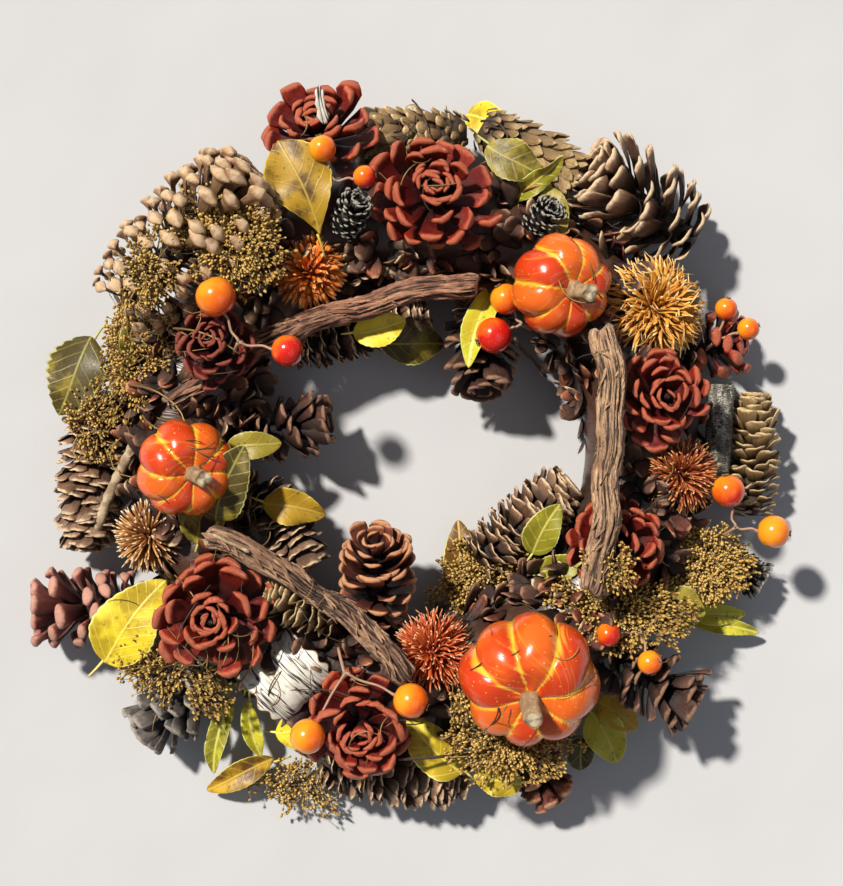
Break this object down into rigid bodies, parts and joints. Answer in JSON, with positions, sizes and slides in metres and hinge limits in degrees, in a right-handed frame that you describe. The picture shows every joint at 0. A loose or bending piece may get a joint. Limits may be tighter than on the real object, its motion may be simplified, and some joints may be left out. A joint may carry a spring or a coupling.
{
  "type": "harvest door wreath",
  "caption": "Round dried-flower wreath: taped straw ring thickly covered with cones, mini pumpkins, berries, bark, leaves and broom bloom, with a wire hanging loop behind.",
  "frame": {"origin": "centre of the ring in the plane of its flat back", "axes": "+Z out of the wreath towards the viewer, +Y up to 12 o'clock where the hanging loop is, +X to the viewer's right"},
  "size_m": [0.3405, 0.3285, 0.0939],
  "materials": {
    "black_cone": "small black cone, matt",
    "bark": "fissured bark, matt",
    "berry": "lacquered, glossy",
    "birch": "papery bark, satin",
    "bloom": "dried buds, matt",
    "flower": "dried florets, matt",
    "steel": "bare wire, satin",
    "leaf": "preserved leaf, waxy",
    "brown_cone": "cone scales, matt",
    "grey_cone": "weathered cone scales, matt",
    "russet_cone": "red-brown cone scales, satin",
    "dark_cone": "dark cone scales, matt",
    "pale_cone": "open cone scales, matt",
    "pumpkin": "lacquered, glossy",
    "red_cone": "cone scales dyed dark red, satin",
    "dusty_cone": "cone scales dyed dusty pink-red, matt",
    "dark_red_cone": "cone scales dyed dark red, matt",
    "tape": "smooth dark brown tape, satin",
    "straw": "dry straw, matt"
  },
  "bodies": {
    "wreath": {"alder_cone_right": "black_cone", "alder_cone_top": "black_cone", "bark_stick_lower_left": "bark", "bark_stick_right": "bark", "bark_stick_upper_left": "bark", "berry_pick_bottom": "berry", "berry_pick_inner_top": "berry", "berry_pick_left": "berry", "berry_pick_low_right": "berry", "berry_pick_right_lower": "berry", "berry_pick_right_upper": "berry", "berry_pick_top_left": "berry", "birch_bark_curl": "birch", "birch_log": "birch", "broom_bloom_left": "bloom", "broom_bloom_right": "bloom", "dried_flower_bottom": "flower", "dried_flower_left": "flower", "dried_flower_right": "flower", "dried_flower_right_upper": "flower", "dried_flower_top_left": "flower", "hanger_staple": "steel", "leaf_spray_bottom": "leaf", "leaf_spray_inner_left": "leaf", "leaf_spray_left": "leaf", "leaf_spray_low_left": "leaf", "leaf_spray_top_left": "leaf", "leaf_spray_top_right": "leaf", "pine_cone_brown_large": "brown_cone", "pine_cone_grey": "grey_cone", "pine_cone_inner_bottom": "russet_cone", "pine_cone_inner_left": "dark_cone", "pine_cone_inner_top": "dark_cone", "pine_cone_low_outer": "russet_cone", "pine_cone_low_right": "dark_cone", "pine_cone_pale_large": "pale_cone", "pumpkin_left": "pumpkin", "pumpkin_lower_right": "pumpkin", "pumpkin_upper_right": "pumpkin", "red_cone_bottom": "red_cone", "red_cone_dusty": "dusty_cone", "red_cone_left_lower": "red_cone", "red_cone_left_upper": "dark_red_cone", "red_cone_right": "red_cone", "red_cone_right_lower": "red_cone", "red_cone_right_upper": "red_cone", "red_cone_top": "red_cone", "red_cone_top_left": "red_cone", "ring_tape": "tape", "spruce_cone_bottom": "brown_cone", "spruce_cone_inner_left": "brown_cone", "spruce_cone_inner_right": "brown_cone", "spruce_cone_inner_top": "brown_cone", "spruce_cone_left": "brown_cone", "spruce_cone_low_left": "pale_cone", "spruce_cone_right": "pale_cone", "spruce_cone_top": "pale_cone", "spruce_cone_top_right": "brown_cone", "straw_ring": "straw"},
    "hanging_loop": {"hanger_loop": "steel"}
  },
  "joints": [
    {"name": "hanging_loop_hinge", "type": "hinge", "parent": "wreath", "child": "hanging_loop", "pos_m": [0, 0.12888, 0.0074], "axis": [-1, 0, 0], "range_deg": [-20, 100]}
  ]
}
